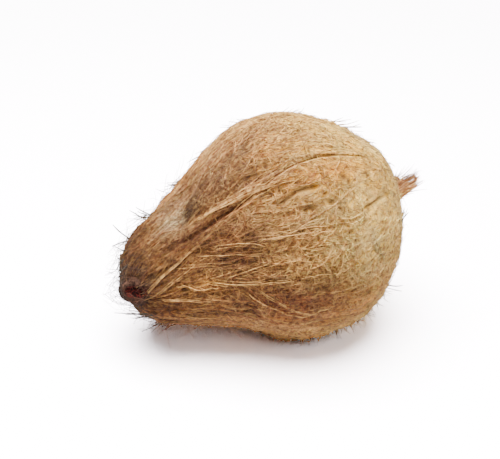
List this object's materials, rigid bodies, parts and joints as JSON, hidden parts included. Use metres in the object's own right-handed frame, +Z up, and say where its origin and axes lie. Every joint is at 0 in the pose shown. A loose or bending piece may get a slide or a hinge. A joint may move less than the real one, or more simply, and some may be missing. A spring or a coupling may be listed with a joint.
{
  "type": "part-husked coconut",
  "caption": "Mature coconut lying on its side, its round nut still wrapped in matted brown fibre, with a cone-shaped fibre tuft left over the eyes.",
  "frame": {"origin": "centre of the bounding box's footprint, at the height of the surface it rests on", "axes": "+X from the fibre tuft towards the frayed point, level along the nut as it lies; +Z up"},
  "size_m": [0.1628, 0.118, 0.1174],
  "materials": {
    "husk_fibre": "matte, matted brown fibre",
    "loose_fibre": "matte, dry straw-brown hair",
    "stalk_scar": "matte, dark weathered wood"
  },
  "bodies": {
    "root": {"coconut": "husk_fibre"}
  },
  "joints": []
}
